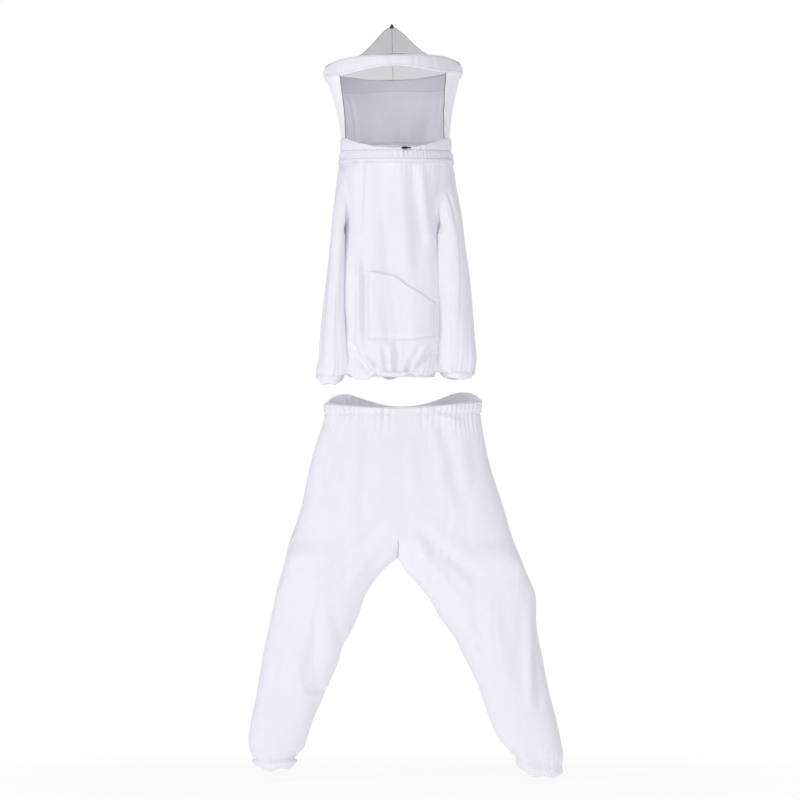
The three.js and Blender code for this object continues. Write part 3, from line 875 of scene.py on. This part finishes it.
def make_neck_casing():
    """The narrow stitched casing under the collar, with the neck elastic in it."""
    shape = oval(HOLD, 157.5, 155, x=NECK_MIDDLE + 1)
    ring = casing_ring("neck_casing_cloth", shape, 14.5, 8, 1.6, 84, 99, columns=420, soft=1.7)
    paint = cotton("casing_cotton", rows=(0.002, 0.013))
    finish_piece(ring, "smock", paint, ["neck_casing"])


make_collar()
make_neck_casing()

# rows: height, inner and outer distance from the middle, half depth; cuff: its ends, half depth and drop
SLEEVES = {
    "left": dict(
        hand=-1,
        bulge=3,
        rows=[
            (1488, 148, 171, 98),
            (1400, 148, 178, 102),
            (1312, 148, 187, 98),
            (1202, 142, 199, 90),
            (1147, 136, 205, 78),
            (1118, 134, 209, 66),
            (1104, 136, 208, 62),
        ],
        cuff=((-143, 1103), (-203, 1100), 52, 26),
    ),
    "right": dict(
        hand=1,
        bulge=6,
        rows=[
            (1488, 139, 199, 98),
            (1400, 137, 211, 104),
            (1312, 138, 217, 100),
            (1202, 137, 225, 90),
            (1147, 131, 228, 78),
            (1125, 128, 225, 68),
            (1112, 129, 222, 64),
        ],
        cuff=((138, 1111), (216, 1109), 54, 20),
    ),
}


def torso_side(hand, y, z):
    """The body's side surface at depth y and height z."""
    cx, half, depth, power = torso_at(z)
    share = np.minimum(0.98, np.abs(y) / depth)
    return cx + hand * half * (1 - share**power) ** (1 / power)


def sleeve_cloth(side):
    """One sleeve from the armhole to the cuff: it blends from the smock to the sleeve body."""
    s = SLEEVES[side]
    hand = s["hand"]
    columns = 190
    phi = np.linspace(0, TURN, columns, endpoint=False)
    low = s["rows"][-1][0]

    def hanging(z):
        inner, outer, depth = along(s["rows"], np.array(float(z)))
        inner = inner - 24 * smooth(1570 - z, 0, 60)
        shape = oval(z, (outer - inner) / 2, depth, x=hand * (inner + outer) / 2, power=2.5)
        return on_oval(shape, phi, 0, 0)

    rim_y = -ARMHOLE_DEEP * np.cos(phi)
    rim_z = ARMHOLE_Z + ARMHOLE_HIGH * np.sin(phi) * hand
    rim = np.stack([torso_side(hand, rim_y, rim_z), rim_y, rim_z], axis=-1)
    outward = np.maximum(0, np.sin(phi) * hand)
    rows = []
    for b in np.linspace(0, 1, 34)[:-1]:
        p = rim + (hanging(SLEEVE_TOP) - rim) * b
        p[:, 0] += hand * s["bulge"] * outward * math.sin(math.pi * b)
        rows.append(p)
    for z in np.linspace(SLEEVE_TOP, low + 2, 110):
        rows.append(hanging(z))
    grid = np.array(rows)
    arc = (phi * 80)[None, :] + 0 * grid[..., 2]
    z = grid[..., 2]
    fade = smooth(np.arange(len(rows))[:, None], 0, 12)
    d = 8.5 * crumple(arc, z, 110 + hand, 40, 400) + 2.0 * crumple(arc, z, 114 + hand, 22, 110)
    d = d + 3.6 * (gathers(phi, 30, 118 + hand)[None, :] - 0.45) * (1 - smooth(z, low, low + 90)) ** 1.5
    # the side that lies against the body stays the flattest
    side_turn = phi / 2 + 0.25 * math.pi * (1 - hand) + math.pi / 4
    d = d * (0.35 + 0.65 * np.clip(np.abs(np.sin(side_turn)), 0.3, 1))[None, :]
    n = normals(np.concatenate([grid, grid[:, :1]], axis=1))[:, :-1]
    centre = grid.mean(axis=1, keepdims=True)
    facing = np.sign(((grid - centre) * n * [1, 1, 0]).sum(-1))
    moved = grid + n * (facing * fade * d)[..., None]
    shape = oval_between(*[np.array(q, float) for q in s["cuff"][:2]], s["cuff"][2], 2.2)
    pull = 1.6 * (gathers(phi, 30, 118 + hand) - 0.45)
    tuck = blouse(shape, phi, 8, s["cuff"][3], pull, 130 + hand)
    moved = np.concatenate([moved, np.array(tuck)], axis=0)
    piece = mesh_from(f"sleeve_{side}_cloth", moved, closed_u=True)
    pivot_x = hand * s["rows"][0][1]
    finish_piece(
        piece,
        None,
        body_cotton,
        [f"sleeve_head_{side}", f"sleeve_{side}"],
        blend=("smock", f"{side}_sleeve", (pivot_x, 0, SLEEVE_TOP + 42), (pivot_x, 0, SLEEVE_TOP - 98)),
    )
    as_sheet(piece, grid, closed=True)
    cuff = casing_ring(f"cuff_{side}", shape, 22, 7, 1.2, 44, 140 + hand, columns=260, soft=1.5)
    cuff_cotton = cotton(f"cuff_cotton_{side}", rows=(0.004, 0.017))
    finish_piece(cuff, f"{side}_sleeve", cuff_cotton, [f"cuff_casing_{side}"])


for side in SLEEVES:
    sleeve_cloth(side)

POCKET = dict(left=-69, right=120, low=1200)


def pocket_top(x):
    """The opening slopes down to the right in two soft steps."""
    return 1386 - 9 * smooth(x, -60, -5) - 38 * smooth(x, -8, 62) - 36 * smooth(x, 50, 118)


def make_pocket():
    """The patch pocket follows the folds of the front and stands a little off it."""
    columns, rows_count = 110, 100
    a = np.linspace(0, 1, columns)[None, :] * np.ones((rows_count, 1))
    b = np.linspace(0, 1, rows_count)[:, None] * np.ones((1, columns))
    x = mix(POCKET["left"], POCKET["right"], a)
    z = mix(POCKET["low"] + 10 * smooth(a, 0.55, 1.0), pocket_top(x), b)
    cx, half, depth, power = torso_at(z)
    share = np.clip(np.abs(x - cx) / half, 0, 0.97)
    surface_y = -depth * (1 - share**power) ** (1 / power)
    phi = np.arcsin(share ** (power / 2)) * np.sign(x - cx)
    under = body_folds(x, z, phi, 1)
    stand = 1.8 + 4.2 * smooth(a, 0, 0.1) * (1 - smooth(a, 0.9, 1)) * smooth(b, 0, 0.12)
    y = surface_y - under - stand
    front = np.stack([x, y, z], axis=-1)
    lip = [front[-1] + np.array(step) for step in ((0, 1.5, 1.2), (0, 2.6, -1.5), (0, 2.4, -20))]
    grid = np.concatenate([front, np.array(lip)], axis=0)
    pocket_cotton = cotton("pocket_cotton", rows=(0.003, 0.178), columns=(0.003, 0.2), crinkle=0.5)
    pocket = mesh_from("pocket_cloth", grid)
    finish_piece(pocket, "smock", pocket_cotton, ["pocket"])
    as_sheet(pocket, front)


make_pocket()

# ---- trousers
WAIST = oval(WAIST_HEIGHT, WAIST_HALF, 46, x=WAIST_MIDDLE, power=2.3)
# side outlines of the two legs, inside and out: height, x
OUTER = {
    "left": [
        (1040, -187), (992, -185), (940, -203), (840, -231), (740, -253), (640, -286), (578, -302),
        (520, -318), (425, -337), (330, -357), (235, -373), (140, -392), (85, -396), (52, -384),
        (34, -374),
    ],
    "right": [
        (1040, 243), (992, 237), (940, 246), (840, 270), (740, 300), (640, 333), (566, 364),
        (490, 392), (425, 394), (330, 410), (235, 429), (122, 456), (70, 466), (36, 463),
        (14, 456),
    ],
}
INNER = {
    "left": [
        (604, 14), (590, -4), (574, -22), (542, -50), (509, -71), (459, -94), (410, -113),
        (360, -140), (311, -160), (262, -177), (212, -195), (162, -218), (113, -234), (80, -246),
        (60, -264), (38, -284),
    ],
    "right": [
        (604, 14), (590, 26), (568, 40), (552, 54), (509, 88), (476, 110), (430, 138), (377, 176),
        (344, 190), (311, 206), (262, 234), (212, 250), (162, 270), (113, 294), (80, 320),
        (58, 336), (40, 350),
    ],
}
# ankle hems: inner end, outer end (x, z), half depth
ANKLES = {
    "left": ((-272, 44), (-378, 44), 40),
    "right": ((346, 38), (458, 14), 40),
}
# height, half depth
LEG_DEPTH = [
    (1040, 46), (940, 58), (840, 70), (740, 74), (604, 66), (500, 62), (300, 58), (140, 52),
    (60, 46), (14, 42),
]
# height, middle, half width
SEAT = [
    (1040, 28, 216),
    (992, 27, 210),
    (940, 21.5, 224.5),
    (840, 19.5, 250.5),
    (740, 23.5, 276.5),
    (604, 27, 319),
]


def waist_wave(phi):
    """Low at both centres, two peaks at the back, the right side a little higher."""
    front = np.cos(phi)
    peaks = np.where(front < 0, 28 * np.sin(2 * phi) ** 2, 0)
    return 4 * np.sin(phi) + peaks - 15 * front * front


# creases on the front of each leg
LEG_CREASES = {
    "left": [
        ((-150, 1010), (-190, 760), 16, -4.5),
        ((-90, 1000), (-120, 700), 18, 3.5),
        ((-20, 700), (-190, 560), 18, -5.5),
        ((-30, 650), (-150, 500), 14, 4.0),
        ((-190, 560), (-290, 250), 24, 4.0),
        ((-240, 240), (-180, 236), 9, -4.5),
        ((-250, 460), (-330, 200), 18, -3.5),
    ],
    "right": [
        ((130, 1000), (190, 740), 18, -4.5),
        ((104, 1018), (190, 990), 9, -5.0),
        ((48, 700), (240, 540), 18, -5.5),
        ((60, 650), (190, 480), 14, 4.0),
        ((392, 480), (402, 180), 16, -7.0),
        ((372, 470), (380, 200), 14, 4.5),
        ((190, 380), (240, 372), 9, -4.5),
        ((250, 520), (330, 220), 24, 4.0),
    ],
}
# creases on the back of both legs: reach from the crotch and height at the start and at the end
LEG_BACK_CREASES = [
    (40, 900, 150, 600, 20, -6.0),
    (20, 700, 160, 560, 16, -5.0),
    (200, 540, 300, 240, 20, 5.0),
]


def trouser_folds(x, z, side, facing):
    """How far the cloth of one trouser panel stands out, from its named creases and a soft crumple."""
    rows = LEG_CREASES[side]
    if facing < 0:
        hand = HANDS[side]
        rows = [
            ((CROTCH_X + hand * a, high), (CROTCH_X + hand * b, low), width, depth)
            for a, high, b, low, width, depth in LEG_BACK_CREASES
        ]
    d = creases(x, z, rows)
    seed = 160 + (7 if side == "left" else 0) + facing
    d = d + 8.0 * crumple(x, z, seed, 80, 520) + 2.6 * crumple(x, z, seed + 20, 34, 110)
    return d


def trouser_panel(side, face):
    """One quarter of the trousers, from over the waistband to the tuck under the ankle."""
    hand = -1 if side == "left" else 1
    facing = 1 if face == "front" else -1
    columns = 150
    t = np.linspace(0, 1, columns)
    a = 0.5 - 0.5 * np.cos(math.pi * t)
    rows = []
    low_in, low_out = INNER[side][-1], OUTER[side][-1]
    seat = np.linspace(TROUSER_TOP, CROTCH, 120)
    leg = np.linspace(CROTCH - 4, ANKLE_BEND, 120)
    ankle_rows = np.linspace(ANKLE_BEND - 6, 24, 9)
    for h in np.concatenate([seat, leg, ankle_rows]):
        if h > ANKLE_BEND:
            zo = zi = h
        else:
            f = h / ANKLE_BEND
            zo = mix(low_out[0], ANKLE_BEND, f)
            zi = mix(low_in[0], ANKLE_BEND, f)
        outer = along(OUTER[side], np.array(float(zo)))[0]
        if h >= CROTCH:
            inner = mix(CROTCH_X, WAIST_MIDDLE, (h - CROTCH) / 430)
        else:
            inner = along(INNER[side], np.array(float(zi)))[0]
        x = mix(inner, outer, a)
        z = mix(zi, zo, a)
        depth = along(LEG_DEPTH, z)[0]
        squareness = 2.3 + 1.7 * math.exp(-(((h - CROTCH) / 70) ** 2))
        leg_y = depth * np.clip(1 - np.abs(2 * a - 1) ** squareness, 0, 1) ** (1 / squareness)
        if h >= CROTCH:
            cx, half = along(SEAT, z)
            seat_y = depth * np.clip(1 - np.abs((x - cx) / half) ** 2.5, 0, 1) ** (1 / 2.5)
            seat_y = seat_y * np.sqrt(np.clip((1 - a) * 60, 0, 1))
            y = mix(leg_y, seat_y, smooth(h, 600, 665))
        else:
            y = leg_y
        rows.append(np.stack([x, -y * facing, z], axis=-1))
    grid = np.array(rows)
    phi_top = np.arcsin(np.clip((grid[0, :, 0] - WAIST_MIDDLE) / WAIST_HALF, -1, 1))
    if facing < 0:
        phi_top = math.pi - phi_top
    lift = waist_wave(phi_top)
    height = grid[..., 2]
    grid[..., 2] += lift[None, :] * smooth(height, 800, 998) ** 1.5
    x, z = grid[..., 0], grid[..., 2]
    d = trouser_folds(x, height, side, facing)
    pull = 5.5 * (gathers(phi_top, 74, 210) - 0.4)
    d = d + (2.0 + pull[None, :]) * smooth(height, 900, 1001) ** 2.0
    d = d - 3.0 * np.exp(-(((height - 999) / 3.0) ** 2)) + 1.5 * smooth(height, 1004, 1012)
    ankle = 2.2 * (gathers(np.linspace(0, math.pi, columns) * facing, 34, 185) - 0.45)
    d = d + ankle[None, :] * (1 - smooth(height, 20, 140)) ** 1.5
    d = d + 1.4 * np.sin(height / 11.0 + 3 * a[None, :]) * np.exp(-(((height - 78) / 38) ** 2))
    edge = smooth(np.minimum(np.arange(columns), np.arange(columns)[::-1]), 0, 8)
    soft_seam = np.minimum(edge, smooth(a * 220.0, 0, 60))
    settle = mix(edge[None, :], soft_seam[None, :], smooth(height, 590, 660))
    direction = normals(grid)
    outward = np.sign(direction[..., 1:2] * -facing)
    grid = grid + direction * np.where(outward == 0, 1, outward) * (d * settle)[..., None]
    shape = oval_between(*[np.array(q, float) for q in ANKLES[side][:2]], ANKLES[side][2], 2.2)
    ring_phi = np.arcsin(np.clip(2 * a - 1, -1, 1)) * hand
    if facing < 0:
        ring_phi = math.pi - ring_phi
    tuck = blouse(shape, ring_phi, 8, 26, 0.3 * ankle * edge, 190)
    smooth_grid = grid.copy()
    grid = np.concatenate([grid, np.array(tuck)], axis=0)
    piece = mesh_from(f"trouser_{face}_{side}", grid)
    finish_piece(
        piece,
        None,
        trouser_cotton,
        [f"seat_{face}_{side}", f"leg_{face}_{side}"],
        blend=("trousers", f"{side}_leg", (CROTCH_X, 0, CROTCH - 2), (CROTCH_X, 0, 240)),
    )
    return as_sheet(piece, smooth_grid[::6, ::6])


def make_ankle(side):
    inner, outer, depth = ANKLES[side]
    shape = oval_between(np.array(inner, float), np.array(outer, float), depth, 2.2)
    ankle = casing_ring(f"ankle_{side}", shape, 22, 7, 1.2, 50, 200, columns=280, soft=1.5)
    paint = cotton(f"ankle_cotton_{side}", rows=(0.004, 0.018))
    finish_piece(ankle, f"{side}_leg", paint, [f"ankle_casing_{side}"])


def make_waistband():
    band = casing_ring("waistband", WAIST, 35, 9, 1.2, 74, 210, columns=560, wave=waist_wave, soft=2.4)
    paint = cotton("waist_cotton", rows=(0.004, 0.032), crinkle=0.55)
    finish_piece(band, "trousers", paint, ["waist_casing"])


trouser_cotton = cotton("trouser_cotton", crinkle=0.35)
for side in HANDS:
    for face in ("front", "back"):
        trouser_panel(side, face)
    make_ankle(side)
make_waistband()

# ---- carried-over nodes
CARRIED_PAINTS = {
    "elastic": plain("elastic_weave", (0.86, 0.86, 0.84), 0.85, scale=1400, bump=0.7),
    "tape": plain("zip_tape_weave", (0.84, 0.83, 0.9), 0.85, scale=1500, bump=0.6),
    "coil": plain("zip_coil_nylon", (0.8, 0.8, 0.86), 0.5, scale=1800, bump=0.8),
    "hoop": plain("hoop_steel", (0.5, 0.5, 0.52), 0.35, metallic=1.0, scale=600, bump=0.2),
    "zip_slider": plain("zip_black_metal", (0.015, 0.015, 0.016), 0.42, metallic=0.3, scale=700, bump=0.15),
}
CARRIED_PAINTS["zip_pull"] = CARRIED_PAINTS["zip_slider"]
for name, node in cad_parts.items():
    if node.hide_render:
        continue
    for word, paint in CARRIED_PAINTS.items():
        if word in name:
            node.data.materials.clear()
            node.data.materials.append(paint)

# ---- floor and light
FLOOR_HEIGHT = -1.70  # metres
FLOOR_HALF = 6
corners = [(-1, -1), (1, -1), (1, 1), (-1, 1)]
floor_points = [(x * FLOOR_HALF, y * FLOOR_HALF, FLOOR_HEIGHT) for x, y in corners]
floor_mesh = bpy.data.meshes.new("floor")
floor_mesh.from_pydata(floor_points, [], [(0, 1, 2, 3)])
floor = bpy.data.objects.new("floor", floor_mesh)
bpy.context.scene.collection.objects.link(floor)
ground = Nodes("floor_white")
ground.shader.inputs["Base Color"].default_value = (0.93, 0.93, 0.93, 1)
ground.shader.inputs["Roughness"].default_value = 0.95
ground.shader.inputs["Specular IOR Level"].default_value = 0.1
spot = ground.add("ShaderNodeNewGeometry")
reach = ground.add("ShaderNodeVectorMath", operation="LENGTH")
ground.link(spot.outputs["Position"], reach.inputs[0])
# the floor fades to plain white away from the suit
far = ground.add("ShaderNodeMapRange", interpolation_type="SMOOTHSTEP")
far.inputs[1].default_value = 1.72
far.inputs[2].default_value = 2.3
far.inputs[3].default_value = 0.86
ground.link(reach.outputs["Value"], far.inputs[0])
glow = ground.add("ShaderNodeEmission")
glow.inputs[0].default_value = (1, 1, 1, 1)
join = ground.add("ShaderNodeMixShader")
ground.link(far.outputs[0], join.inputs[0])
ground.link(ground.shader.outputs[0], join.inputs[1])
ground.link(glow.outputs[0], join.inputs[2])
ground.link(join.outputs[0], ground.tree.nodes["Material Output"].inputs[0])
floor.data.materials.append(ground.material)

world = bpy.data.worlds.new("studio")
bpy.context.scene.world = world
world.use_nodes = True
tree = world.node_tree
back = tree.nodes["Background"]
back.inputs[0].default_value = (0.985, 0.985, 1.0, 1)
back.inputs[1].default_value = 0.46
bright = tree.nodes.new("ShaderNodeBackground")
bright.inputs[0].default_value = (1, 1, 1, 1)
bright.inputs[1].default_value = 1.0
path = tree.nodes.new("ShaderNodeLightPath")
blend_world = tree.nodes.new("ShaderNodeMixShader")
tree.links.new(path.outputs["Is Camera Ray"], blend_world.inputs[0])
tree.links.new(back.outputs[0], blend_world.inputs[1])
tree.links.new(bright.outputs[0], blend_world.inputs[2])
tree.links.new(blend_world.outputs[0], tree.nodes["World Output"].inputs[0])


def area_light(name, where, aim, size, power):
    data = bpy.data.lights.new(name, "AREA")
    data.shape = "RECTANGLE"
    data.size, data.size_y = size
    data.energy = power
    light = bpy.data.objects.new(name, data)
    bpy.context.scene.collection.objects.link(light)
    light.location = where
    light.visible_camera = False
    light.rotation_euler = (Vector(aim) - Vector(where)).to_track_quat("-Z", "Y").to_euler()


area_light("key", (-4.2, -3.4, 1.4), (0, 0, -0.6), (1.6, 2.6), 80)
area_light("front", (0.4, -7.5, 0.5), (0, 0, -0.5), (3.0, 3.0), 120)
area_light("fill", (3.6, -3.0, 0.2), (0, 0, -0.6), (2.0, 2.4), 8)
area_light("hood", (0.01, -0.1, 0.17), (0.0, 0.3, 0.12), (0.24, 0.12), 0.1)
area_light("rim", (1.5, 3.2, 1.4), (0, 0, -0.4), (1.5, 2.0), 25)

scene = bpy.context.scene
scene.view_settings.view_transform = "Standard"
scene.view_settings.look = "None"
